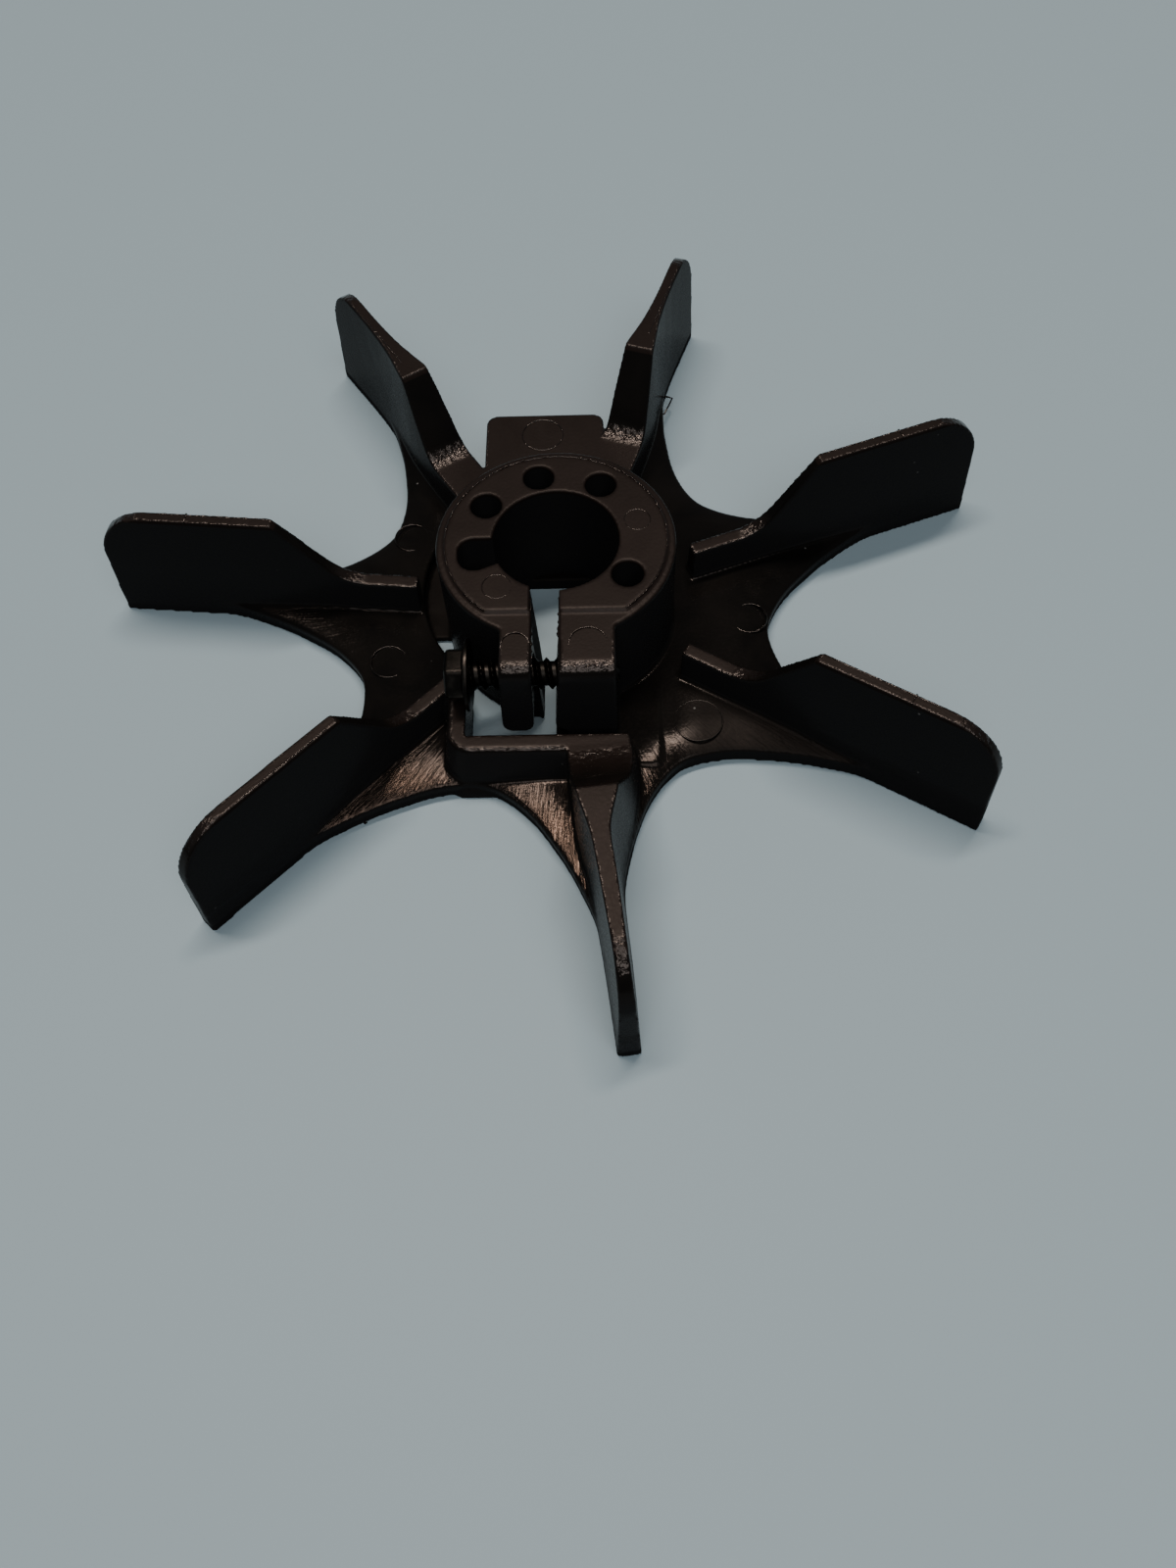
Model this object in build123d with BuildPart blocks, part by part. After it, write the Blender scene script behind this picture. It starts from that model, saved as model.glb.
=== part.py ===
"""Clamp-on axial fan impeller: one moulded piece with seven blades, and its clamp screw.

Millimetres. The origin is the bore axis on the plane the blades rest on, +Z up, and the
clamp slot runs towards -Y. Angles are counter-clockwise from +X.
"""
from build123d import *
from math import asin, cos, degrees, radians, sin, tan
import os

os.makedirs("parts", exist_ok=True)

# ---- overall levels -------------------------------------------------------------------
BLADE_TOP = 19.0                  # top edge of every blade
HUB_TOP = 18.8                    # raised face round the bore
PAD_STEP = 0.4                    # how far that face stands above the hub ledge
LEDGE = HUB_TOP - PAD_STEP
RIB_TOP = 8.4                     # ribs, window wall and counterweight plate
WEB_TOP = 3.3                     # thin star-shaped web

# ---- blades ---------------------------------------------------------------------------
BLADES = 7
PITCH = 360 / BLADES
FIRST = 20.2                      # angle of blade 0
TIP_R = 62.9                      # tip radius at the rest plane
TIP_LEAN = 1.1                    # the tip edge leans in by this much
TIP_ROUND = 8.0                   # outer top corner
THIN = (0, 3, 4, 6)               # plain blades
THICK = (1, 2)                    # blades that grow into a wide rib
HEAVY = 5                         # the blade beside the clamp
FOOT_HALF = 1.25                  # half thickness at the rest plane
EDGE_HALF = 0.75                  # half thickness at the top edge
THIN_RIB_END = 19.5               # thin ribs stop short of the hub here
THIN_CORNER = 37.6
THICK_CORNER = 37.1

# ---- web ------------------------------------------------------------------------------
WEB_R = 49.0                      # arms run out along the blades to here
# edge of the space between two blades: (out along its middle, across), one half
GAP_EDGE = [(28.9, 0), (29.7, 3.6), (31.5, 7.2), (33.5, 9.9), (36.0, 12.9), (39.0, 15.9),
            (42.1, 18.6), (45.2, 20.4)]
GAP_OUT = (56.0, 25.6)

# ---- hub ------------------------------------------------------------------------------
BORE_R = 8.2
HUB_R = 15.6
PAD_R = 14.4
RING_R = 10.9                     # small core holes round the bore
RING_HOLE_R = 2.05
RING_ANGLES = (57.4, 102.4, 147.4, 327.4)

# ---- clamp ----------------------------------------------------------------------------
EAR_BACK = -11.4
EAR_FRONT = -20.9
EAR_FOOT = 5.5
EAR_ROUND = 2.2                   # front top edge
EAR_FOOT_ROUND = 1.6
SLOT_TOP = (-3.2, 0.5)            # slot edges at the hub top
SLOT_FOOT = (-2.2, -0.35)         # and at the rest plane
LEFT_EAR = ((-6.9, -2.9), (-7.3, -3.2))     # x range at the top, x range at the foot
RIGHT_EAR = ((0.55, 7.45), (-0.5, 7.6))
SCREW_Y = -16.5
SCREW_Z = 12.3

# ---- screw (number 8, hexagon washer head) ----------------------------------------------
SHANK_R = 2.0
SCREW_CLEAR = 0.02                # shank to the tapped hole
FREE_CLEAR = 0.3                  # shank to the clearance hole
WASHER_T = 0.75
WALL_GAP = 0.05                   # washer face to the window's left side
WASHER_R = 4.7
HEX_FLATS = 6.35
HEX_T = 2.4
SHANK_LEN = 19.05
POINT_LEN = 1.6
POINT_R = 1.1

# ---- window round the screw -------------------------------------------------------------
WIN_LEFT = -11.9
WIN_RIGHT = -0.5
WIN_FRONT = -23.1
WIN_ROUND = 1.2
SEAT_X = WIN_LEFT + WALL_GAP + WASHER_T     # underside of the washer
WALL = 2.35                       # wall round the window, at its top
WALL_SPREAD = (1.0, 2.3)          # how much further out its foot is: to the left, in front
WALL_ROUND = 3.2
WALL_EDGE = 0.8                   # rounded top edge
WALL_END = -14.2                  # the left wall stops here
WALL_RIGHT = 8.1
SLIT_C = (0.0, 5.0)               # curved slit that frees the left half of the hub
SLIT_R = 19.5
SLIT_BACK = -2.2                  # open through only in front of this line
SLIT_TURN = -6.0                  # from here it runs straight to the window
MOAT_FLOOR = 0.9

# ---- counterweight plate -------------------------------------------------------------------
PLATE_LEFT = -10.95
PLATE_RIGHT = 6.4
PLATE_BACK = 33.1
PLATE_ROUND = 1.6


def blade_angle(k):
    return FIRST + k * PITCH


# ======================================================================== web
def gap_face(k):
    """Space between blade k and the next: a concave flowing edge, open outwards."""
    side = [(u, v) for u, v in GAP_EDGE]
    pts = [(u, -v) for u, v in reversed(side)] + side[1:]
    with BuildSketch() as sk:
        with BuildLine():
            edge = Spline(*pts)
            Polyline(edge @ 1, GAP_OUT, (GAP_OUT[0], -GAP_OUT[1]), edge @ 0)
        make_face()
    return Rot(0, 0, blade_angle(k) + PITCH / 2) * sk.sketch


def web():
    """Thin star: a disc with seven spaces taken out of its rim."""
    gaps = [gap_face(k) for k in range(BLADES)]
    with BuildPart() as p:
        with BuildSketch():
            Circle(WEB_R)
            for g in gaps:
                add(g, mode=Mode.SUBTRACT)
        extrude(amount=WEB_TOP)
    return p.part


# ======================================================================== blades
def side_profile(start, corner, slope, blend):
    """Side view of a blade and its rib: (distance from the axis, height)."""
    rise = BLADE_TOP - RIB_TOP
    knee = corner - rise / tan(radians(slope))
    reach = blend * tan(radians(slope / 2))
    flat_end = (knee - reach, RIB_TOP)
    ramp = (knee + reach * cos(radians(slope)), RIB_TOP + reach * sin(radians(slope)))
    lean_r = TIP_R - TIP_LEAN
    with BuildSketch(Plane.XZ) as sk:
        with BuildLine():
            Line((start, RIB_TOP), flat_end)
            TangentArc(flat_end, ramp, tangent=(1, 0))
            Polyline(ramp, (corner, BLADE_TOP), (lean_r, BLADE_TOP), (TIP_R, 0), (start, 0),
                     (start, RIB_TOP))
        make_face()
        fillet(sk.vertices().sort_by_distance((lean_r, BLADE_TOP, 0))[0], TIP_ROUND)
    return sk.sketch


def plan_face(z, stations):
    """Plan of a blade at height z; stations are (distance out, right half, left half)."""
    right = [(s, -r) for s, r, l in stations]
    left = [(s, l) for s, r, l in reversed(stations)]
    with BuildSketch(Plane.XY.offset(z)) as sk:
        with BuildLine():
            a = Spline(*right)
            b = Line(a @ 1, left[0])
            c = Spline(*left)
            Line(c @ 1, a @ 0)
        make_face()
    return sk.sketch


def blade(k, start, corner, slope, blend, foot, edge):
    """Loft the drafted plan from foot to top edge, then trim it to the side view."""
    lower = plan_face(0, foot)
    upper = plan_face(BLADE_TOP, edge)
    outline = side_profile(start, corner, slope, blend)
    with BuildPart() as p:
        loft([lower, upper], ruled=True)
        extrude(outline, amount=20, both=True, mode=Mode.INTERSECT)
    return Rot(0, 0, blade_angle(k)) * p.part


def thin_blade(k):
    foot = [(s, FOOT_HALF, FOOT_HALF) for s in (10, 30, 50, 70)]
    edge = [(s, EDGE_HALF, EDGE_HALF) for s in (10, 30, 50, 70)]
    return blade(k, THIN_RIB_END, THIN_CORNER, 53, 7.0, foot, edge)


def thick_blade(k):
    """Wide rib out of the hub that thins, with hollow flanks, into the blade."""
    foot = [(10, 3.25, 3.25), (34, 3.2, 3.2), (38, 2.75, 2.75), (42, 2.05, 2.05),
            (46, 1.5, 1.5), (52, FOOT_HALF, FOOT_HALF), (70, FOOT_HALF, FOOT_HALF)]
    edge = [(10, 2.3, 2.3), (34, 2.3, 2.3), (38, 1.95, 1.95), (42, 1.3, 1.3),
            (46, 0.92, 0.92), (52, EDGE_HALF, EDGE_HALF), (70, EDGE_HALF, EDGE_HALF)]
    return blade(k, HUB_R - 2, THICK_CORNER, 57, 4.0, foot, edge)


def heavy_blade(k):
    """The widest rib: its left flank is upright, its right flank is scooped away."""
    foot = [(20, 2.35, 6.2), (34, 2.35, 5.7), (38, 2.2, 4.2), (42, 1.7, 2.9),
            (46, 1.4, 2.5), (52, FOOT_HALF, 2.3), (62, FOOT_HALF, 1.7), (70, FOOT_HALF, 1.4)]
    edge = [(20, 2.35, 3.6), (34, 2.35, 3.5), (38, 2.1, 2.4), (42, 1.35, 1.1),
            (46, 1.1, 0.95), (52, 0.9, 0.9), (62, EDGE_HALF, EDGE_HALF),
            (70, EDGE_HALF, EDGE_HALF)]
    whole = blade(k, -WIN_FRONT - 3, THICK_CORNER, 55, 9.0, foot, edge)
    with BuildPart() as p:
        add(whole)
        # squared off in line with the window's front edge
        with BuildSketch():
            with Locations((0, WIN_FRONT + 10)):
                Rectangle(40, 20)
        extrude(amount=BLADE_TOP, mode=Mode.SUBTRACT)
    return p.part


# ======================================================================== counterweight
def plate():
    """Thick plate opposite the clamp, joined to the two wide ribs."""
    with BuildPart() as p:
        with BuildSketch() as sk:
            with Locations(((PLATE_LEFT + PLATE_RIGHT) / 2, PLATE_BACK / 2)):
                Rectangle(PLATE_RIGHT - PLATE_LEFT, PLATE_BACK)
            fillet(sk.vertices().group_by(Axis.Y)[-1], PLATE_ROUND)
        extrude(amount=RIB_TOP)
    return p.part


def shoulder():
    """Fills the corner between the plate and the right-hand wide rib."""
    a = radians(blade_angle(1))
    with BuildPart() as p:
        with BuildSketch():
            Polygon((0, 0), (0, 28.4), (6.7, 28.4), (28 * cos(a), 28 * sin(a)), align=None)
        extrude(amount=RIB_TOP)
    return p.part


# ======================================================================== window
def wall_face(z, spread):
    """Outline of the window wall; its foot stands further out than its top."""
    left = WIN_LEFT - WALL - spread[0]
    front = WIN_FRONT - WALL - spread[1]
    with BuildSketch(Plane.XY.offset(z)) as sk:
        Polygon((left, WALL_END), (left, front), (WALL_RIGHT, front), (WALL_RIGHT, WIN_FRONT),
                (WIN_LEFT, WIN_FRONT), (WIN_LEFT, WALL_END), align=None)
        fillet(sk.vertices().sort_by_distance((left, front, 0))[0], WALL_ROUND)
    return sk.sketch


def window_wall():
    """Wall in front of and beside the window; it carries on into the heavy rib."""
    with BuildPart() as p:
        loft([wall_face(0, WALL_SPREAD), wall_face(RIB_TOP, (0, 0))], ruled=True)
        rim = p.edges().group_by(Axis.Z)[-1]
        outer = [e for e in rim if e.center().Y < WIN_FRONT - WALL + WALL_ROUND
                 and e.center().X < WALL_RIGHT - 0.1 and e.center().Y < WIN_FRONT - 0.1]
        fillet(outer, WALL_EDGE)
    return p.part


def window_void():
    """Opening under the ears and the screw, with the slit round the hub's left side."""
    a0 = 180 + degrees(asin((SLIT_C[1] - SLIT_BACK) / SLIT_R))
    a1 = 180 + degrees(asin((SLIT_C[1] - SLIT_TURN) / SLIT_R))
    w = WIN_RIGHT - WIN_LEFT
    d = EAR_BACK - WIN_FRONT
    inner = LEFT_EAR[0][0]
    with BuildPart() as p:
        with BuildSketch():
            with Locations((WIN_LEFT + w / 2, WIN_FRONT + d / 2)):
                RectangleRounded(w, d, WIN_ROUND)
            with BuildLine():
                arc = CenterArc(SLIT_C, SLIT_R, a0, a1 - a0)
                Polyline(arc @ 1, (WIN_LEFT, WALL_END), (inner, WALL_END), (inner, SLIT_BACK),
                         arc @ 0)
            make_face()
        extrude(amount=RIB_TOP + 1)
    return p.part


def moat():
    """The slit is only a trench, not open through, along the hub's far left side."""
    with BuildPart() as p:
        with BuildSketch(Plane.XY.offset(MOAT_FLOOR)):
            with Locations(SLIT_C):
                Circle(SLIT_R)
            with Locations((20, 0)):
                Rectangle(60, 60, mode=Mode.SUBTRACT)
            Polygon((-30, SLIT_BACK), (0, SLIT_BACK), (0, -30), (-30, -30), align=None,
                    mode=Mode.SUBTRACT)
            a = radians(blade_angle(2) + 18)
            Polygon((0, 0), (40 * cos(a), 40 * sin(a)), (0, 40), align=None,
                    mode=Mode.SUBTRACT)
        extrude(amount=RIB_TOP + 1)
    return p.part


# ======================================================================== hub and clamp
def hub():
    """Plain drum with a slightly raised face."""
    with BuildPart() as p:
        with BuildSketch():
            Circle(HUB_R)
        extrude(amount=LEDGE)
        with BuildSketch(Plane.XY.offset(LEDGE)):
            Circle(PAD_R)
            with Locations((0, EAR_BACK - 10)):
                Rectangle(40, 20, mode=Mode.SUBTRACT)
        extrude(amount=PAD_STEP)
    return p.part


def ear(top, foot):
    """One clamp ear, rounded along its front top edge and at its lower corners."""
    with BuildPart() as p:
        with BuildSketch(Plane.XZ.offset(-EAR_BACK)) as sk:
            Polygon((top[0], LEDGE), (top[1], LEDGE), (foot[1], EAR_FOOT),
                    (foot[0], EAR_FOOT), align=None)
            fillet(sk.vertices().group_by(Axis.Y)[0], EAR_FOOT_ROUND)
        extrude(amount=EAR_BACK - EAR_FRONT)
        front_top = [e for e in p.edges()
                     if e.center().Y < EAR_FRONT + 0.1 and e.center().Z > LEDGE - 0.1]
        fillet(front_top, EAR_ROUND)
    return p.part


def slot():
    """Tapered saw-like slot from the bore out through the front of the hub."""
    with BuildPart() as p:
        with BuildSketch(Plane.XZ):
            Polygon((SLOT_TOP[0], HUB_TOP + 0.1), (SLOT_TOP[1], HUB_TOP + 0.1),
                    (SLOT_FOOT[1], -0.1), (SLOT_FOOT[0], -0.1), align=None)
        extrude(amount=HUB_R + 1)
    return p.part


def screw_hole(x0, x1, r):
    with BuildPart() as p:
        with BuildSketch(Plane.YZ.offset(x0)):
            with Locations((SCREW_Y, SCREW_Z)):
                Circle(r)
        extrude(amount=x1 - x0)
    return p.part


def core_holes():
    """Four plain core holes and the keyhole that opens into the bore."""
    with BuildPart() as p:
        with BuildSketch():
            for a in RING_ANGLES:
                with Locations((RING_R * cos(radians(a)), RING_R * sin(radians(a)))):
                    Circle(RING_HOLE_R)
            with Locations((-10.55, -1.75), (-10.45, -2.75)):
                Circle(2.1)
            Polygon((-6.5, 0.35), (-10.55, 0.35), (-12.5, -1.0), (-12.4, -3.2),
                    (-10.0, -4.8), (-9.4, -4.65), (-6.5, -3.3), align=None)
        extrude(amount=HUB_TOP)
    return p.part


def bore():
    """Plain through bore for the motor shaft's adapter or a boss."""
    with BuildPart() as p:
        with BuildSketch():
            Circle(BORE_R)
        extrude(amount=HUB_TOP)
    return p.part


def rear_notches():
    """Takes the web away between the two wide ribs, outside the counterweight plate."""
    a = radians(blade_angle(1))
    b = radians(blade_angle(2))
    half = 2.75
    r0 = 24.5
    inner_a = (r0 * cos(a) - half * sin(a), r0 * sin(a) + half * cos(a))
    inner_b = (r0 * cos(b) + half * sin(b), r0 * sin(b) - half * cos(b))
    outer_a = (47 * cos(a) - 1.6 * sin(a), 47 * sin(a) + 1.6 * cos(a))
    outer_b = (47 * cos(b) + 1.6 * sin(b), 47 * sin(b) - 1.6 * cos(b))
    knee_a = (37 * cos(a) - 3.0 * sin(a), 37 * sin(a) + 3.0 * cos(a))
    knee_b = (37 * cos(b) + 3.0 * sin(b), 37 * sin(b) - 3.0 * cos(b))
    with BuildPart() as p:
        with BuildSketch():
            Polygon(inner_a, knee_a, outer_a, outer_b, knee_b, inner_b, align=None)
        extrude(amount=WEB_TOP)
    return p.part


def right_ear_foot():
    """Carries the fixed ear down to the web."""
    x0 = RIGHT_EAR[1][0] + EAR_FOOT_ROUND
    with BuildPart() as p:
        with BuildSketch():
            Polygon((x0, EAR_BACK), (RIGHT_EAR[1][1], EAR_BACK), (RIGHT_EAR[1][1], EAR_FRONT),
                    (x0, EAR_FRONT), align=None)
        extrude(amount=EAR_FOOT + 1)
    return p.part


# ======================================================================== finished pieces
blades = [thin_blade(k) for k in THIN] + [thick_blade(k) for k in THICK]
blades.append(heavy_blade(HEAVY))

with BuildPart() as impeller:
    add(web())
    add(window_wall())
    for b in blades:
        add(b)
    add(window_void(), mode=Mode.SUBTRACT)
    add(moat(), mode=Mode.SUBTRACT)
    # the space between the two wide ribs holds only the counterweight plate
    add(rear_notches(), mode=Mode.SUBTRACT)
    add(plate())
    add(shoulder())
    add(hub())
    add(slot(), mode=Mode.SUBTRACT)
    add(ear(*LEFT_EAR))
    add(ear(*RIGHT_EAR))
    add(right_ear_foot())
    add(core_holes(), mode=Mode.SUBTRACT)
    add(bore(), mode=Mode.SUBTRACT)
    add(screw_hole(-9, SLOT_TOP[0] + 1, SHANK_R + FREE_CLEAR), mode=Mode.SUBTRACT)
    add(screw_hole(-1.5, 9, SHANK_R + SCREW_CLEAR), mode=Mode.SUBTRACT)
impeller.part.label = "impeller"
export_step(impeller.part, "parts/impeller.step")

with BuildPart() as clamp_screw:
    # hexagon washer-head screw lying along X through both ears
    with BuildSketch(Plane.YZ.offset(SEAT_X)):
        with Locations((SCREW_Y, SCREW_Z)):
            Circle(SHANK_R)
    extrude(amount=SHANK_LEN - POINT_LEN)
    with BuildSketch(Plane.YZ.offset(SEAT_X + SHANK_LEN - POINT_LEN)) as root:
        with Locations((SCREW_Y, SCREW_Z)):
            Circle(SHANK_R)
    with BuildSketch(Plane.YZ.offset(SEAT_X + SHANK_LEN)) as tip:
        with Locations((SCREW_Y, SCREW_Z)):
            Circle(POINT_R)
    loft([root.sketch, tip.sketch])
    with BuildSketch(Plane.YZ.offset(SEAT_X - WASHER_T)):
        with Locations((SCREW_Y, SCREW_Z)):
            Circle(WASHER_R)
    extrude(amount=WASHER_T)
    with BuildSketch(Plane.YZ.offset(SEAT_X - WASHER_T - HEX_T)):
        with Locations((SCREW_Y, SCREW_Z)):
            RegularPolygon(HEX_FLATS / 2, 6, major_radius=False, rotation=30)
    extrude(amount=HEX_T)
clamp_screw.part.label = "clamp_screw"
export_step(clamp_screw.part, "parts/clamp_screw.step")
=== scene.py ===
import bmesh
import bpy
import math
import numpy as np
from mathutils import Matrix, Vector, noise


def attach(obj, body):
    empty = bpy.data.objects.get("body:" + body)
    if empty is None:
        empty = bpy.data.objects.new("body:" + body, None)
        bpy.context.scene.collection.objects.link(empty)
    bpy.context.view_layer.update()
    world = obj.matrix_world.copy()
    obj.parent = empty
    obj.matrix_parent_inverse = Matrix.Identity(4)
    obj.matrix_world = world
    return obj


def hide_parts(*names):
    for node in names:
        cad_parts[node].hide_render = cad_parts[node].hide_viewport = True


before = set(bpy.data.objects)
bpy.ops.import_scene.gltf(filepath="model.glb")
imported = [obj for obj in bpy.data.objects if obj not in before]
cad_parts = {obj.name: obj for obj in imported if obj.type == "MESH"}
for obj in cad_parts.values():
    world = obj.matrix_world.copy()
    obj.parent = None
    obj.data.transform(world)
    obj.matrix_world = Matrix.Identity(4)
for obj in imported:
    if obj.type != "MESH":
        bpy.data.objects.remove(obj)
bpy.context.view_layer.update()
MM = 0.001

# ---- camera ------------------------------------------------------------------
# Stands in front of the clamp and looks down on the impeller at about 60 degrees.
camera = bpy.data.objects.new("camera", bpy.data.cameras.new("camera"))
bpy.context.scene.collection.objects.link(camera)
right = Vector((0.999687, -0.005623, -0.024378))
up = Vector((0.016966, 0.868506, 0.495388))
back = Vector((0.018387, -0.495647, 0.868329))
turn = Matrix((right, up, back)).transposed().to_4x4()
stand = Vector((6.56, -106.11, 140.83)) * MM
camera.matrix_world = Matrix.Translation(stand) @ turn
camera.data.sensor_width = 36.0
camera.data.lens = 28.29
camera.data.clip_start = 0.01
bpy.context.scene.camera = camera

# ---- light -------------------------------------------------------------------
# One long strip lamp high overhead, running left to right, a wide weak panel in front of
# it, and soft room light.
def area_lamp(name, place, aim, long_side, short_side, watts, colour):
    data = bpy.data.lights.new(name, "AREA")
    data.shape = "RECTANGLE"
    data.size = long_side
    data.size_y = short_side
    data.energy = watts
    data.color = colour
    lamp = bpy.data.objects.new(name, data)
    bpy.context.scene.collection.objects.link(lamp)
    lamp.location = place
    lamp.rotation_euler = (Vector(aim) - Vector(place)).to_track_quat("-Z", "Y").to_euler()


area_lamp("overhead_strip", (-0.15, 0.42, 1.75), (0, 0, 0), 1.3, 0.16, 36, (1.0, 0.93, 0.86))
area_lamp("front_panel", (0.15, -0.75, 1.2), (0, 0, 0), 1.2, 0.8, 14, (0.93, 0.97, 1.0))
world = bpy.data.worlds.new("room")
bpy.context.scene.world = world
world.use_nodes = True
room = world.node_tree.nodes["Background"]
room.inputs["Color"].default_value = (0.60, 0.74, 0.86, 1)
room.inputs["Strength"].default_value = 0.13


# ---- floor -------------------------------------------------------------------
# A plain pale grey-blue surface. It lies a hair below the impeller, so that the two never
# share a plane.
FLOOR_HALF = 3
FLOOR_GAP = 0.05 * MM


def new_material(name):
    material = bpy.data.materials.new(name)
    material.use_nodes = True
    return material, material.node_tree, material.node_tree.nodes["Principled BSDF"]


def new_piece(name, mesh, material=None):
    piece = bpy.data.objects.new(name, mesh)
    bpy.context.scene.collection.objects.link(piece)
    if material:
        mesh.materials.append(material)
    return piece


floor_material, tree, shader = new_material("floor")
shader.inputs["Base Color"].default_value = (0.212, 0.264, 0.287, 1)
shader.inputs["Roughness"].default_value = 0.6
shader.inputs["Specular IOR Level"].default_value = 0.25
floor_mesh = bpy.data.meshes.new("floor")
floor_mesh.from_pydata([(x * FLOOR_HALF, y * FLOOR_HALF, 0)
                        for x, y in ((-1, -1), (1, -1), (1, 1), (-1, 1))], [], [(0, 1, 2, 3)])
floor = new_piece("floor", floor_mesh, floor_material)
floor.location.z = -FLOOR_GAP


# ---- moulded impeller ----------------------------------------------------------
# One injection moulding in black-brown plastic. Its upper faces have a dull skin and carry
# painted light, a lighter brown for the warm lamp's light on them, and its upright faces a
# painted lighter grey; the web and the flanks are smoother, and the front of the web shows the
# melt's flow.
# Where one kind of skin fades into the next, in metres: heights, then distances.
RIB_FADE = (0.0050, 0.0070)
WEB_FADE = (0.0042, 0.0058)
STREAK_FADE = (0.0040, 0.0062)
CROWN_FADE = (0.0182, 0.01835)
BORE_TOP_FADE = (0.0178, 0.0184)
MOAT_FADE = (0.0010, 0.0015)
BORE_FADE = (0.0134, 0.0138)
FRONT_FADE = (-0.017, -0.026)
CALM_SIDE_FADE = (0.0155, 0.0190)
CALM_FRONT_FADE = (-0.0120, -0.0160)
STREAK_SCALES = (70.0, 170.0, 200.0)    # round the axis, away from it, upwards


def link(tree, a, b):
    tree.links.new(a, b)


def math_node(tree, operation, a, b=None):
    node = tree.nodes.new("ShaderNodeMath")
    node.operation = operation
    for socket, value in zip(node.inputs, (a, b)):
        if value is None:
            continue
        if isinstance(value, (int, float)):
            socket.default_value = value
        else:
            link(tree, value, socket)
    return node.outputs[0]


def product(tree, *factors):
    result = factors[0]
    for factor in factors[1:]:
        result = math_node(tree, "MULTIPLY", result, factor)
    return result


def total(tree, *terms):
    result = terms[0]
    for term in terms[1:]:
        result = math_node(tree, "ADD", result, term)
    return result


def larger(tree, a, b):
    return math_node(tree, "MAXIMUM", a, b)


def spread(tree, factor, low, high, to_low, to_high):
    node = tree.nodes.new("ShaderNodeMapRange")
    for socket, value in zip(node.inputs[1:5], (low, high, to_low, to_high)):
        socket.default_value = value
    link(tree, factor, node.inputs["Value"])
    return node.outputs["Result"]


def noise_node(tree, place, scale, detail, distortion=0.0):
    node = tree.nodes.new("ShaderNodeTexNoise")
    node.inputs["Scale"].default_value = scale
    node.inputs["Detail"].default_value = detail
    node.inputs["Distortion"].default_value = distortion
    link(tree, place, node.inputs["Vector"])
    return node.outputs["Fac"]


def ramp(tree, factor, stops):
    node = tree.nodes.new("ShaderNodeValToRGB")
    node.color_ramp.elements[0].position, node.color_ramp.elements[0].color = stops[0]
    node.color_ramp.elements[1].position, node.color_ramp.elements[1].color = stops[-1]
    for at, colour in stops[1:-1]:
        node.color_ramp.elements.new(at).color = colour
    link(tree, factor, node.inputs["Fac"])
    return node.outputs["Color"]


def blend(tree, factor, first, second):
    """Mixes two colours, each a socket or a constant."""
    node = tree.nodes.new("ShaderNodeMix")
    node.data_type = "RGBA"
    link(tree, factor, node.inputs["Factor"])
    for socket, colour in ((node.inputs[6], first), (node.inputs[7], second)):
        if isinstance(colour, tuple):
            socket.default_value = colour
        else:
            link(tree, colour, socket)
    return node.outputs[2]


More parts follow.
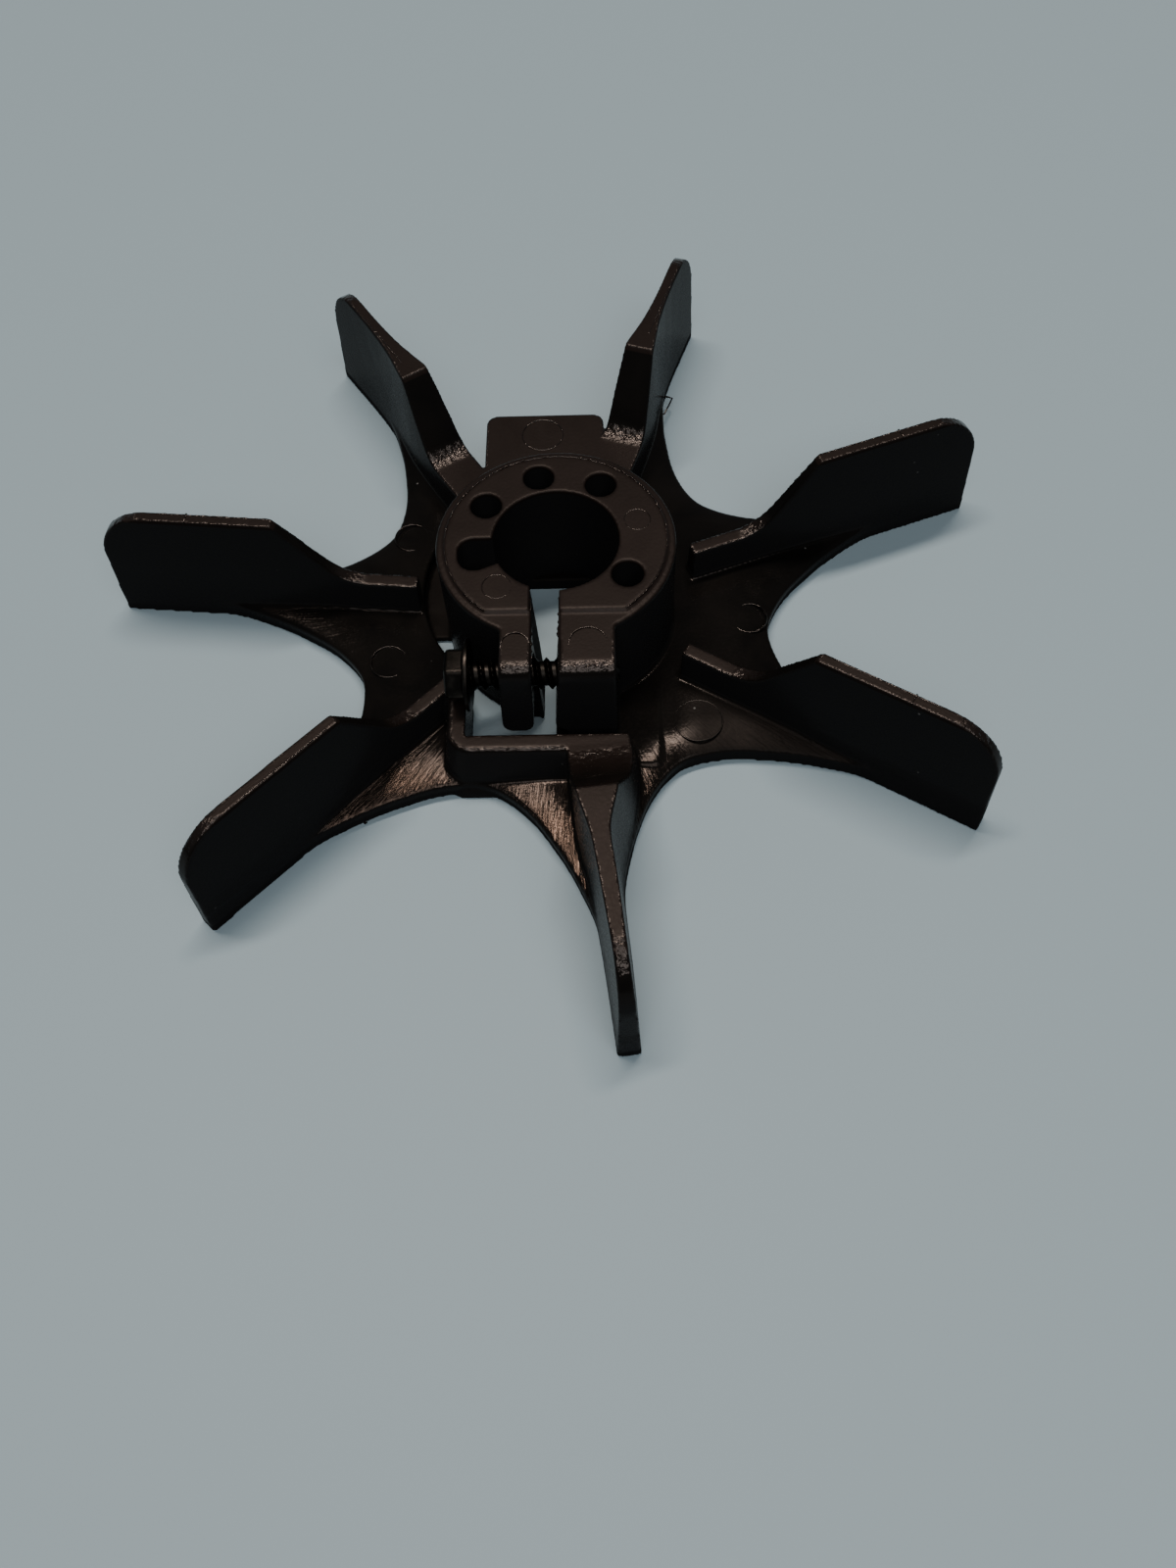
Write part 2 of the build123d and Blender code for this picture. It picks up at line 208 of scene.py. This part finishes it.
def mould_skin_group():
    """Masks of the moulded skin. Streak, Grain, Pits and Cloud are textures; Dull, Side, Sheen,
    Inner and Shoulder say where a kind of skin lies, and Side also places the painted lighter
    grey of the upright faces; the upper-face mask places painted light, a lighter brown on the
    upper faces; Dust is specks."""
    group = bpy.data.node_groups.new("mould_skin", "ShaderNodeTree")
    place = group.nodes.new("ShaderNodeTexCoord").outputs["Object"]
    split = group.nodes.new("ShaderNodeSeparateXYZ")
    link(group, place, split.inputs[0])
    x, y, z = split.outputs
    facing = group.nodes.new("ShaderNodeSeparateXYZ")
    link(group, group.nodes.new("ShaderNodeNewGeometry").outputs["Normal"], facing.inputs[0])
    tilt = facing.outputs[2]
    turn = math_node(group, "ARCTAN2", y, x)
    out = math_node(group, "SQRT", total(group, product(group, x, x), product(group, y, y)))
    polar = group.nodes.new("ShaderNodeCombineXYZ")
    for value, scale, socket in zip((turn, out, z), STREAK_SCALES, polar.inputs):
        link(group, product(group, value, scale), socket)

    high = spread(group, z, *RIB_FADE, 0.0, 1.0)
    low = spread(group, z, *WEB_FADE, 1.0, 0.0)
    crown = spread(group, z, *CROWN_FADE, 0.0, 1.0)
    front = spread(group, y, *FRONT_FADE, 0.10, 1.0)
    upward = spread(group, tilt, 0.90, 0.985, 0.0, 1.0)
    masks = {}
    masks["Streak"] = product(group, noise_node(group, polar.outputs[0], 1.0, 6.0, 1.4),
                              spread(group, z, *STREAK_FADE, 1.0, 0.10),
                              product(group, spread(group, out, 0.024, 0.036, 0.12, 1.0),
                                      front))
    masks["Grain"] = noise_node(group, place, 2400.0, 2.0)
    masks["Cloud"] = noise_node(group, place, 150.0, 4.0, 0.6)
    masks["Dull"] = larger(group, product(group, upward, high), crown)
    # Painted light: upper faces above the ribs' height, and the hub's crown, are marked for a
    # lighter brown that stands in for the warm lamp's light on them.
    painted_top_light = product(group, spread(group, tilt, 0.70, 0.96, 0.0, 1.0), high)
    masks["Brown"] = larger(group, painted_top_light, crown)
    masks["Side"] = spread(group, math_node(group, "ABSOLUTE", tilt), 0.25, 0.60, 1.0, 0.0)
    masks["Sheen"] = product(group, low, spread(group, out, 0.023, 0.033, 0.0, 1.0),
                             spread(group, tilt, 0.5, 0.8, 0.0, 1.0), front,
                             spread(group, x, 0.0140, 0.0175, 1.0, 0.15))
    bore = product(group, spread(group, out, *BORE_FADE, 1.0, 0.0),
                   spread(group, z, *BORE_TOP_FADE, 1.0, 0.0))
    moat = spread(group, z, *MOAT_FADE, 1.0, 0.0)
    calm = product(group, low, spread(group, x, *CALM_SIDE_FADE, 0.0, 0.8),
                   spread(group, y, *CALM_FRONT_FADE, 0.0, 1.0))
    masks["Inner"] = larger(group, larger(group, bore, moat), calm)
    shoulder = product(group, spread(group, tilt, 0.68, 0.80, 0.0, 1.0),
                       spread(group, tilt, 0.990, 0.9985, 1.0, 0.0), high,
                       spread(group, out, 0.0165, 0.0190, 0.15, 1.0))
    masks["Shoulder"] = shoulder
    masks["Pits"] = product(group, shoulder, noise_node(group, place, 1300.0, 3.0))
    specks = group.nodes.new("ShaderNodeTexVoronoi")
    specks.inputs["Scale"].default_value = 420.0
    link(group, place, specks.inputs["Vector"])
    speck = spread(group, specks.outputs["Distance"], 0.05, 0.075, 1.0, 0.0)
    rare = spread(group, noise_node(group, place, 260.0, 1.0), 0.60, 0.66, 0.0, 1.0)
    masks["Dust"] = product(group, speck, rare)

    for name in masks:
        group.interface.new_socket(name, in_out="OUTPUT", socket_type="NodeSocketFloat")
    ends = group.nodes.new("NodeGroupOutput")
    for name, mask in masks.items():
        link(group, mask, ends.inputs[name])
    return group


mould_skin = mould_skin_group()


def plastic_material(name, streak_height, dull_rough, gloss_rough, dust, bend):
    """The moulded plastic: dust is how strongly specks show, bend its index of refraction."""
    material, tree, shader = new_material(name)
    skin = tree.nodes.new("ShaderNodeGroup")
    skin.node_tree = mould_skin
    out = skin.outputs
    gloss = ramp(tree, out["Cloud"], [(0.30, (0.0026, 0.0023, 0.0021, 1)),
                                      (0.75, (0.0050, 0.0041, 0.0035, 1))])
    # Painted highlight: upper faces get this lighter brown in place of the warm lamp's light on
    # them; the cloud varies its tone at random.
    painted_top_colour = ramp(tree, out["Cloud"], [(0.30, (0.0062, 0.0041, 0.0034, 1)),
                                     (0.75, (0.0092, 0.0062, 0.0052, 1))])
    # Painted light: upright faces get a lighter grey that stands in for the light they catch; it
    # is no colour of the plastic.
    gloss = blend(tree, out["Side"], gloss, (0.0085, 0.0080, 0.0080, 1))
    skin_and_painted_light_colour = blend(tree, out["Brown"], gloss, painted_top_colour)
    dusted = blend(tree, product(tree, out["Dust"], dust), skin_and_painted_light_colour, (0.16, 0.15, 0.14, 1))
    link(tree, dusted, shader.inputs["Base Color"])
    rough = total(tree, spread(tree, out["Dull"], 0, 1, gloss_rough, dull_rough),
                  spread(tree, out["Streak"], 0.3, 0.7, -0.05, 0.07),
                  spread(tree, out["Grain"], 0.3, 0.7, -0.03, 0.03),
                  product(tree, out["Side"], 0.12), product(tree, out["Inner"], 0.35),
                  product(tree, out["Sheen"], -0.07), product(tree, out["Shoulder"], -0.14))
    link(tree, rough, shader.inputs["Roughness"])
    index = total(tree, spread(tree, out["Side"], 0, 1, bend, 1.08),
                  product(tree, out["Sheen"], 0.17), product(tree, out["Inner"], -0.08),
                  product(tree, out["Shoulder"], 0.15))
    link(tree, larger(tree, index, 1.06), shader.inputs["IOR"])
    link(tree, blend(tree, out["Sheen"], (1.0, 0.82, 0.73, 1), (1.0, 0.66, 0.50, 1)),
         shader.inputs["Specular Tint"])
    height = total(tree, product(tree, out["Streak"], streak_height),
                   product(tree, out["Grain"], 0.16), product(tree, out["Pits"], 3.0),
                   product(tree, out["Dust"], 0.3))
    bump = tree.nodes.new("ShaderNodeBump")
    bump.inputs["Strength"].default_value = 0.5
    bump.inputs["Distance"].default_value = 0.0002
    link(tree, height, bump.inputs["Height"])
    link(tree, bump.outputs["Normal"], shader.inputs["Normal"])
    return material


plastic = plastic_material("black_brown_plastic", 2.4, 0.48, 0.20, 0.5, 1.20)
flash_plastic = plastic_material("flash_plastic", 0.2, 0.24, 0.20, 0.2, 1.38)

VOXEL = 0.26 * MM       # corners are rounded by about this much
MOST_TRIANGLES = 190000
BLADES = 7
FIRST = 20.2            # direction of blade 0, in degrees
PITCH = 360 / BLADES
WEB_FOOT = 1.2          # the web's shaping starts above this height
WEB_TOP = 3.3
RIB_TOP = 8.4
BLADE_TOP = 19.0
# edge of the space between two blades: (out along its middle, across), one half
GAP_EDGE = ((28.9, 0.0), (29.7, 3.6), (31.5, 7.2), (33.5, 9.9), (36.0, 12.9), (39.0, 15.9),
            (42.1, 18.6), (45.2, 20.4))
GAP_START = 18
GAP_HALF_ANGLE = math.radians(27)
PLATE_GAP = 1           # the thick plate fills this space, so its web stays flat
ROLL_WIDTH = 5.6        # the web's top face rolls down towards that edge
ROLL_DROP = 0.85
ROLL_DEPTH = 1.6
FLASH_ROOM = 0.12
FAR = 99.0
STEP_LEFT, STEP_RIGHT = 7.0, 13.6
STEP_FRONT, STEP_BACK = -25.1, -12.0
STEP_HEIGHT = 0.22
STEP_EASE = 0.5
STEP_CORNER = (11.6, -23.1)
STEP_CORNER_R = 2.1


def roll_off(points):
    """Lowers the web's top face towards the edge of each space between the blades."""
    fine = []
    for s in (1, -1):
        side = np.array([(u, s * v) for u, v in GAP_EDGE])
        for a, b in zip(side[:-1], side[1:]):
            fine += [a + (b - a) * t for t in np.linspace(0, 1, 8, endpoint=False)]
    fine = np.array(fine)
    x, y, z = points.T / MM
    on_web = (z > WEB_FOOT) & (z < WEB_TOP + 0.5)
    near = np.full(len(points), FAR)
    for k in range(BLADES):
        if k == PLATE_GAP:
            continue
        a = math.radians(FIRST + (k + 0.5) * PITCH)
        u = x * math.cos(a) + y * math.sin(a)
        v = -x * math.sin(a) + y * math.cos(a)
        inside = (u > GAP_START) & (np.abs(v) < u * math.tan(GAP_HALF_ANGLE))
        pick = np.where(on_web & inside)[0]
        d = np.full(len(pick), FAR)
        for f in fine:
            d = np.minimum(d, np.hypot(u[pick] - f[0], v[pick] - f[1]))
        near[pick] = np.minimum(near[pick], d)
    share = np.clip(1 - near / ROLL_WIDTH, 0, 1) ** 2
    deep = np.clip((z - WEB_FOOT) / ROLL_DEPTH, 0, 1)
    points[:, 2] -= share * ROLL_DROP * MM * deep * on_web
    return points


def step_pad(points):
    """A low step on the web beside the clamp's fixed ear."""
    x, y, z = points.T / MM
    inside = (np.clip((STEP_RIGHT - x) / STEP_EASE, 0, 1)
              * np.clip((y - STEP_FRONT) / STEP_EASE, 0, 1)
              * np.clip((x - STEP_LEFT) / STEP_EASE, 0, 1)
              * np.clip((STEP_BACK - y) / 9.0, 0, 1))
    corner = np.hypot(np.clip(x - STEP_CORNER[0], 0, None),
                      np.clip(STEP_CORNER[1] - y, 0, None))
    inside *= np.clip((STEP_CORNER_R - corner) / 0.4, 0, 1)
    top = (z > WEB_TOP - 0.6) & (z < WEB_TOP + 0.4)
    points[:, 2] += STEP_HEIGHT * MM * inside * top
    return points


def trim_tops(points):
    """Leaves room for the flash between the blades' tops and the part's full height."""
    points[:, 2] = np.minimum(points[:, 2], (BLADE_TOP - FLASH_ROOM) * MM)
    return points


def softened_copy(node, name, voxel, shapers, rounds, most):
    """A copy of a moulded solid with every corner rounded by about one voxel."""
    piece = new_piece(name, node.data.copy())
    remesh = piece.modifiers.new("voxels", "REMESH")
    remesh.mode = "VOXEL"
    remesh.voxel_size = voxel
    graph = bpy.context.evaluated_depsgraph_get()
    dense = bpy.data.meshes.new_from_object(piece.evaluated_get(graph))
    points = np.empty(len(dense.vertices) * 3)
    dense.vertices.foreach_get("co", points)
    points = points.reshape(-1, 3)
    for shaper in shapers:
        points = shaper(points)
    dense.vertices.foreach_set("co", points.ravel())
    dense.update()
    piece.modifiers.clear()
    piece.data = dense
    ease = piece.modifiers.new("ease", "SMOOTH")
    ease.factor = 0.5
    ease.iterations = rounds
    thin = piece.modifiers.new("thin", "DECIMATE")
    thin.ratio = min(1.0, most / (2 * len(dense.polygons)))
    graph = bpy.context.evaluated_depsgraph_get()
    done = bpy.data.meshes.new_from_object(piece.evaluated_get(graph))
    done.name = name
    piece.modifiers.clear()
    piece.data = done
    done.materials.clear()
    done.shade_smooth()
    return piece


moulding = softened_copy(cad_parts["impeller"], "impeller_moulding", VOXEL,
                         (roll_off, step_pad, trim_tops), 2, MOST_TRIANGLES)
moulding.data.materials.append(plastic)
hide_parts("impeller")
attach(moulding, "root")


# ---- stop lip in the bore --------------------------------------------------------
# A shallow shelf at the foot of the bore, behind a straight edge. Its height, and that it
# stops the shaft, are assumed.
def mesh_from(name, verts, faces, smooth=False):
    mesh = bpy.data.meshes.new(name)
    mesh.from_pydata([tuple(c * MM for c in v) for v in verts], [], faces)
    bm = bmesh.new()
    bm.from_mesh(mesh)
    bmesh.ops.recalc_face_normals(bm, faces=bm.faces)
    bm.to_mesh(mesh)
    bm.free()
    if smooth:
        mesh.shade_smooth()
    return mesh


def moulded(piece):
    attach(piece, "root")


BORE_R = 8.2
LIP_Y = 6.9
LIP_TOP = 2.0
LIP_FOOT = 0.05
LIP_BEVEL = 0.25
lip_r = BORE_R + 0.35       # runs a little way into the bore's wall
half_turn = math.acos(LIP_Y / lip_r)
rim = [(lip_r * math.sin(a), lip_r * math.cos(a)) for a in np.linspace(-half_turn, half_turn, 25)]
verts = [(x, y, z) for z in (LIP_FOOT, LIP_TOP - LIP_BEVEL) for x, y in rim]
verts += [(x, max(y, LIP_Y + LIP_BEVEL), LIP_TOP) for x, y in rim]
n = len(rim)
faces = [list(range(n)), list(range(2 * n, 3 * n))]
for level in (0, 1):
    for i in range(n):
        j = (i + 1) % n
        faces.append([level * n + i, level * n + j, (level + 1) * n + j, (level + 1) * n + i])
moulded(new_piece("stop_lip", mesh_from("stop_lip", verts, faces), plastic))


# ---- ejector marks ---------------------------------------------------------------
# Round witness marks that the tool's pins and plugs leave: a fine raised rim each.
RIDGE_FOOT = -0.1           # a ridge starts below the face that it stands on
RING_STEPS = 72
RING_HALF = 0.12


def ribbon(name, lines, closed):
    """Closed half-round ridges along lines of (place, half width, height, outward)."""
    verts, faces = [], []
    for line in lines:
        start = len(verts)
        for place, half, height, side in line:
            place, side = Vector(place), Vector(side)
            section = ((-1, RIDGE_FOOT), (-0.55, 0.75 * height), (0, height),
                       (0.55, 0.75 * height), (1, RIDGE_FOOT))
            for across, high in section:
                verts.append(place + side * (across * half) + Vector((0, 0, high)))
        rows, points = len(line), len(section)
        for i in range(rows if closed else rows - 1):
            j = (i + 1) % rows
            for c in range(points):
                d = (c + 1) % points
                faces.append([start + i * points + c, start + i * points + d,
                              start + j * points + d, start + j * points + c])
        if not closed:
            faces.append([start + c for c in range(points)])
            faces.append([start + (rows - 1) * points + c for c in range(points)])
    return mesh_from(name, verts, faces, smooth=True)


def ring_line(centre, radius, z, height, strong, weak):
    """A round ridge, highest towards the angle strong and down to the share weak elsewhere."""
    line = []
    for i in range(RING_STEPS):
        a = 2 * math.pi * i / RING_STEPS
        out = Vector((math.cos(a), math.sin(a), 0))
        share = weak + (1 - weak) * max(0.0, math.cos(a - math.radians(strong))) ** 0.7
        share *= 0.85 + 0.3 * noise.noise(out * 2.3 + Vector((centre[0], centre[1], 0)))
        line.append((Vector((centre[0], centre[1], z)) + out * radius, RING_HALF,
                     max(-0.05, height * share - 0.05), out))
    return line


HUB_TOP = 18.8
LEDGE = 18.4
# centre, radius, height of the face, height of the rim, strong direction, weakest share
pin_marks = [((-4.9, -16.4), 1.75, LEDGE, 0.38, 100, 0.0),
             ((4.1, -16.4), 2.4, LEDGE, 0.34, 100, 0.0),
             ((-7.4, -7.6), 1.85, HUB_TOP, 0.21, 150, 0.30),
             ((10.6, 3.0), 1.7, HUB_TOP, 0.17, 60, 0.40),
             ((18.3, -18.2), 3.2, WEB_TOP, 0.30, -40, 0.30),
             ((-23.5, -7.8), 2.5, WEB_TOP, 0.30, 120, 0.15),
             ((26.2, -1.45), 2.4, WEB_TOP, 0.25, 20, 0.0),
             ((-21.8, 14.3), 2.4, WEB_TOP, 0.14, 100, 0.20),
             ((-2.6, 29.0), 3.0, RIB_TOP, 0.22, 100, 0.50)]
rings = [ring_line(*mark) for mark in pin_marks]
moulded(new_piece("ejector_marks", ribbon("ejector_marks", rings, True), flash_plastic))


# ---- flash on the hub and the blades -----------------------------------------------
# Thin ragged fins where the tool's halves and inserts meet: round the raised face, in the
# clamp slot, along the blade tops and across them, and a few loose ends at the feet.
PAD_R = 14.4
PAD_FLASH_TOP = 0.22
PAD_STEPS = 420
EDGE_HALF = 0.75            # half a blade's thickness at its top
EDGE_INSET = 0.2
EDGE_STEPS = 90
TOP_SEAT = Vector((0, 0, BLADE_TOP - FLASH_ROOM))
SLOT_FROM, SLOT_LONG, SLOT_STEPS = -9.0, 10.6, 70
WALL_TURN = Vector((-11.05, -22.25, 0))
CRESCENT = (4.3, -28.3)
CRESCENT_R = 2.1


def blade_axes(k):
    """Unit vectors along blade k and across it."""
    a = math.radians(FIRST + k * PITCH)
    return Vector((math.cos(a), math.sin(a), 0)), Vector((-math.sin(a), math.cos(a), 0))


flash_lines = []
pad_edge = []
for i in range(PAD_STEPS):
    a = math.radians(-52 + 284 * i / (PAD_STEPS - 1))
    out = Vector((math.cos(a), math.sin(a), 0))
    rough = 0.7 * noise.noise(out * 7.0) + 0.9 * noise.noise(out * 46.0)
    pad_edge.append((out * (PAD_R - 0.05 + 0.12 * noise.noise(out * 23.0))
                     + Vector((0, 0, HUB_TOP - 0.05)), 0.09,
                     min(PAD_FLASH_TOP, 0.05 + 0.36 * max(0.0, rough)), out))
flash_lines.append(pad_edge)
# one upper edge of each light blade: blade, from and to along it, which side
for k, from_s, to_s, side in ((0, 38, 53, 1), (3, 38, 53, -1), (4, 39, 52, 1), (6, 39, 53, 1),
                              (1, 40, 52, -1), (2, 40, 52, 1)):
    along, across = blade_axes(k)
    across *= side
    line = []
    for i in range(EDGE_STEPS):
        s = from_s + (to_s - from_s) * i / (EDGE_STEPS - 1)
        rough = noise.noise(Vector((s * 0.9, k * 7.0, 0))) + noise.noise(Vector((s * 4, k, 3)))
        line.append((along * s + across * (EDGE_HALF - EDGE_INSET) + TOP_SEAT, 0.12,
                     min(FLASH_ROOM, 0.03 + 0.22 * max(0.0, rough)), across))
    flash_lines.append(line)
# witness lines across three blade tops
for k, s in ((3, 49.0), (6, 49.7), (0, 49.6)):
    along, across = blade_axes(k)
    flash_lines.append([(along * s + across * w + TOP_SEAT, 0.13, FLASH_ROOM, along)
                        for w in np.linspace(-0.8, 0.8, 9)])
# ragged edges of the clamp slot
for x_back, x_front, side in ((-3.2, -2.9, 1), (0.52, 0.52, -1)):
    line = []
    for i in range(SLOT_STEPS):
        y = SLOT_FROM - SLOT_LONG * i / (SLOT_STEPS - 1)
        x = x_back + (x_front - x_back) * i / (SLOT_STEPS - 1)
        reach = 0.08 + 0.22 * max(0.0, noise.noise(Vector((y * 1.9, x * 3.0, 0))))
        line.append((Vector((x + side * reach * 0.5, y, LEDGE - 0.35)), reach, 0.12,
                     Vector((side, 0, 0))))
    flash_lines.append(line)
# two fine beads round the outer edge of the window wall
for radius, level in ((2.75, 8.28), (3.16, 7.88)):
    line = [(Vector((x, WALL_TURN.y - radius, level)), 0.08, 0.13, Vector((0, -1, 0)))
            for x in np.linspace(1.0, WALL_TURN.x, 30)]
    for a in np.radians(np.linspace(265, 180, 18)):
        out = Vector((math.cos(a), math.sin(a), 0))
        line.append((WALL_TURN + out * radius + Vector((0, 0, level)), 0.08, 0.11, out))
    flash_lines.append(line)
# crescent on the heavy rib, where a pin stood
flash_lines.append([(Vector((CRESCENT[0] + CRESCENT_R * math.cos(a),
                             CRESCENT[1] + CRESCENT_R * math.sin(a), RIB_TOP)), 0.13,
                     0.30 * math.cos(a - math.radians(88)) ** 4 + 0.02,
                     Vector((math.cos(a), math.sin(a), 0)))
                    for a in np.radians(np.linspace(42, 128, 24))])
# blob at the heavy blade's tip and a nick on the web's edge beside blade 4
for k, s, w_from, w_to, half, tall in ((5, 62.4, -0.7, 1.3, 0.50, 0.75),
                                       (4, 39.9, 2.8, 3.5, 0.20, 0.35)):
    along, across = blade_axes(k)
    flash_lines.append([(along * (s + 0.08 * noise.noise(Vector((w * 3, 0, k))))
                         + across * w + Vector((0, 0, 0.1)), half,
                         tall * (0.7 + 0.5 * noise.noise(Vector((w * 2.5, 5, k)))), along)
                        for w in np.linspace(w_from, w_to, 12)])
moulded(new_piece("parting_flash", ribbon("parting_flash", flash_lines, False),
                  flash_plastic))


# ---- flash loop --------------------------------------------------------------------
# A thin string of flash that stands out from the foot of blade 1 and comes back to it.
# Its points are (along the blade, across it, height).
LOOP_BLADE = 1
LOOP_R = 0.13


def tube(name, points, radius, sides=8):
    """A round string of plastic through the points."""
    verts, faces = [], []
    for i, point in enumerate(points):
        ahead = (points[min(i + 1, len(points) - 1)] - points[max(i - 1, 0)]).normalized()
        flat = ahead.cross(Vector((0, 0, 1))).normalized()
        high = flat.cross(ahead)
        for c in range(sides):
            turn = 2 * math.pi * c / sides
            verts.append(point + (flat * math.cos(turn) + high * math.sin(turn)) * radius)
    for i in range(len(points) - 1):
        for c in range(sides):
            d = (c + 1) % sides
            faces.append([i * sides + c, i * sides + d, (i + 1) * sides + d,
                          (i + 1) * sides + c])
    faces += [list(range(sides)), list(range(len(verts) - sides, len(verts)))]
    return mesh_from(name, verts, faces, smooth=True)


along, across = blade_axes(LOOP_BLADE)
loop_at = [(42.2, -2.2, 1.9), (42.5, -2.65, 2.0), (44.3, -2.85, 2.1), (45.9, -2.95, 2.2),
           (46.0, -2.2, 2.2), (45.9, -1.4, 2.1), (45.8, -0.9, 2.0)]
loop = [along * s + across * w + Vector((0, 0, z)) for s, w, z in loop_at]
moulded(new_piece("flash_loop", tube("flash_loop", loop, LOOP_R), flash_plastic))


# ---- clamp screw thread ------------------------------------------------------------
# Shank of a hexagon washer-head screw, taken as number 8, with dark oxide on steel. It
# passes the moving ear and is assumed to hold by its own thread in the fixed one.
screw_metal, tree, shader = new_material("dark_oxide_steel")
place = tree.nodes.new("ShaderNodeTexCoord").outputs["Object"]
cloud = noise_node(tree, place, 420.0, 5.0, 0.4)
link(tree, ramp(tree, cloud, [(0.35, (0.008, 0.007, 0.006, 1)), (0.55, (0.018, 0.015, 0.013, 1)),
                              (0.72, (0.045, 0.036, 0.030, 1))]), shader.inputs["Base Color"])
shader.inputs["Metallic"].default_value = 1.0
link(tree, spread(tree, cloud, 0.3, 0.7, 0.48, 0.30), shader.inputs["Roughness"])
bump = tree.nodes.new("ShaderNodeBump")
bump.inputs["Strength"].default_value = 0.35
bump.inputs["Distance"].default_value = 0.00005
link(tree, noise_node(tree, place, 3000.0, 3.0), bump.inputs["Height"])
link(tree, bump.outputs["Normal"], shader.inputs["Normal"])

SCREW_Y = -16.5
SCREW_Z = 12.3
SEAT_X = -10.95             # the washer's face; the shank runs from here towards +x
SHANK_BACK = 0.3            # how far the shank reaches into the washer
HEX_FLATS = 6.35
THREAD_R = 2.07
ROOT_R = 1.56
THREAD_PITCH = 1.41
SHANK_LEN = 18.95
POINT_LEN = 2.4


def lathe_along_x(name, rows, columns):
    """Rows of (x, radius at a turn angle) round the screw's axis, closed at both ends."""
    verts, faces = [], []
    for x, radius in rows:
        for c in range(columns):
            a = 2 * math.pi * c / columns
            r = radius(a) if callable(radius) else radius
            verts.append((x, SCREW_Y + r * math.cos(a), SCREW_Z + r * math.sin(a)))
    for i in range(len(rows) - 1):
        for c in range(columns):
            d = (c + 1) % columns
            faces.append([i * columns + c, i * columns + d, (i + 1) * columns + d,
                          (i + 1) * columns + c])
    faces.append(list(range(columns)))
    faces.append(list(range((len(rows) - 1) * columns, len(rows) * columns)))
    return mesh_from(name, verts, faces, smooth=True)


def thread_radius(x):
    def at(a):
        turns = (x - SEAT_X) / THREAD_PITCH - a / (2 * math.pi) + 0.25
        off = abs(turns - round(turns)) * 2
        crest = max(0.0, 1 - off / 0.62)
        r = ROOT_R + (THREAD_R - ROOT_R) * crest
        left = SEAT_X + SHANK_LEN - x
        if left < POINT_LEN:
            r *= 0.42 + 0.58 * (left / POINT_LEN) ** 0.7
        return r
    return at


steps = int(SHANK_LEN / (THREAD_PITCH / 16))
shank_at = [SEAT_X - SHANK_BACK + (SHANK_LEN + SHANK_BACK) * i / steps
            for i in range(steps + 1)]
shank_rows = [(x, thread_radius(x)) for x in shank_at]
shank = new_piece("clamp_screw_thread", lathe_along_x("clamp_screw_thread", shank_rows, 56),
                  screw_metal)
shank.data.set_sharp_from_angle(angle=math.radians(60))

# ---- clamp screw washer ------------------------------------------------------------
# The flange that is part of the screw's head. Its back joins the hexagon in a short
# slope.
WASHER_T = 0.75
WASHER_R = 4.7
washer_back = SEAT_X - WASHER_T
washer_rows = [(SEAT_X, 1.2), (SEAT_X, WASHER_R - 0.25), (SEAT_X - 0.08, WASHER_R - 0.06),
               (SEAT_X - 0.28, WASHER_R), (SEAT_X - 0.48, WASHER_R - 0.06),
               (SEAT_X - 0.60, WASHER_R - 0.28), (washer_back, HEX_FLATS / 2 + 0.5),
               (washer_back - 0.3, HEX_FLATS / 2 - 0.2), (washer_back - 0.4, 1.0)]
washer = new_piece("clamp_screw_washer", lathe_along_x("clamp_screw_washer", washer_rows, 96),
                   screw_metal)
washer.data.set_sharp_from_angle(angle=math.radians(40))


# ---- clamp screw head --------------------------------------------------------------
# The hexagon, with its corners cut back to a circle and a shallow recess in its end.
HEX_T = 2.4
HEX_CORNER = 1.115          # the corners' circle, as a share of the flats' half width


def hexagon(shrink):
    """Radius of a hexagon with a flat on top, cut back to a circle at its corners."""
    def at(a):
        b = (a - math.radians(90)) % math.radians(60)
        b = min(b, math.radians(60) - b)
        flat = HEX_FLATS / 2 / math.cos(b)
        return min(flat, HEX_FLATS / 2 * HEX_CORNER) * shrink
    return at


head_end = washer_back - HEX_T
head_rows = [(washer_back + 0.1, hexagon(1.0)), (washer_back - 0.1, hexagon(0.985)),
             (head_end + 0.55, hexagon(0.985)), (head_end + 0.28, hexagon(0.955)),
             (head_end + 0.08, hexagon(0.88)), (head_end, hexagon(0.80)),
             (head_end + 0.02, hexagon(0.62)), (head_end + 0.45, hexagon(0.50)),
             (head_end + 0.5, hexagon(0.2))]
head = new_piece("clamp_screw_head", lathe_along_x("clamp_screw_head", head_rows, 96),
                 screw_metal)
head.data.set_sharp_from_angle(angle=math.radians(35))
for piece in (shank, washer, head):
    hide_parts("clamp_screw")
    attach(piece, "root")
